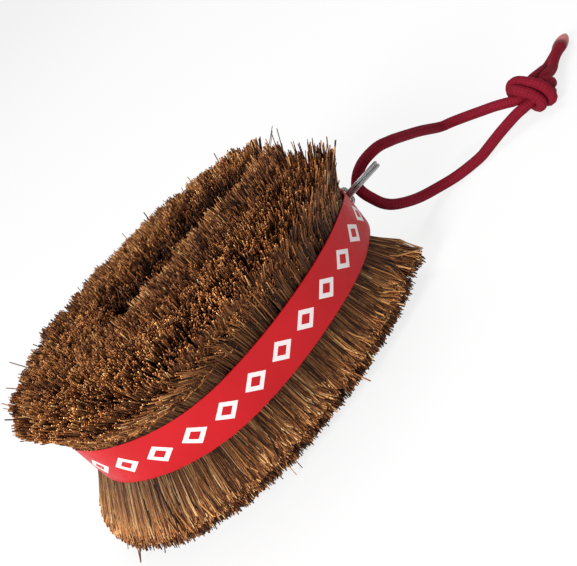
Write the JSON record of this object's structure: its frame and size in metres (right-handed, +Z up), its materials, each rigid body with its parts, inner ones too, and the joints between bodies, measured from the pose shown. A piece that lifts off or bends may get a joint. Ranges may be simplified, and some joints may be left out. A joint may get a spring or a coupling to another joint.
{
  "type": "palm fibre scrub brush",
  "caption": "Oval scrub brush of stiff palm fibre gripped in twisted wire, bent double inside a waist band, with a wire eye, split ring and knotted cord loop.",
  "frame": {"origin": "On the surface that the brush stands on, under the middle of the brush and its ring", "axes": "+Z up, X along the brush with the wire eye, ring and cord at +X, Y across it"},
  "size_m": [0.2002, 0.0745, 0.0495],
  "materials": {
    "fibre": "dry, rough palm fibre",
    "band": "satin red strip",
    "wire": "galvanised",
    "eye_wire": "galvanised",
    "ring_steel": "satin",
    "cord": "braided cord",
    "melted_cord": "melted and set"
  },
  "bodies": {
    "brush": {"fibre_upper_front_leg": "fibre", "fibre_upper_back_leg": "fibre", "fibre_upper_bend": "fibre", "fibre_lower_front_leg": "fibre", "fibre_lower_back_leg": "fibre", "fibre_lower_bend": "fibre", "waist_band": "band", "core_wire_a": "wire", "core_wire_b": "wire", "wire_eye": "eye_wire"},
    "ring": {"split_ring": "ring_steel"},
    "cord": {"cord_loop": "cord", "cord_knot": "cord", "cord_tail_a": "cord", "cord_tail_b": "cord", "cord_tip": "melted_cord"}
  },
  "joints": [
    {"name": "ring_swing", "type": "hinge", "parent": "brush", "child": "ring", "pos_m": [0.04885, 0, 0.0225], "axis": [0, 0, 1], "range_deg": [-30, 30]},
    {"name": "cord_swing", "type": "hinge", "parent": "ring", "child": "cord", "pos_m": [0.06045, 0, 0.0225], "axis": [0, 1, 0], "range_deg": [-110, 45]}
  ]
}
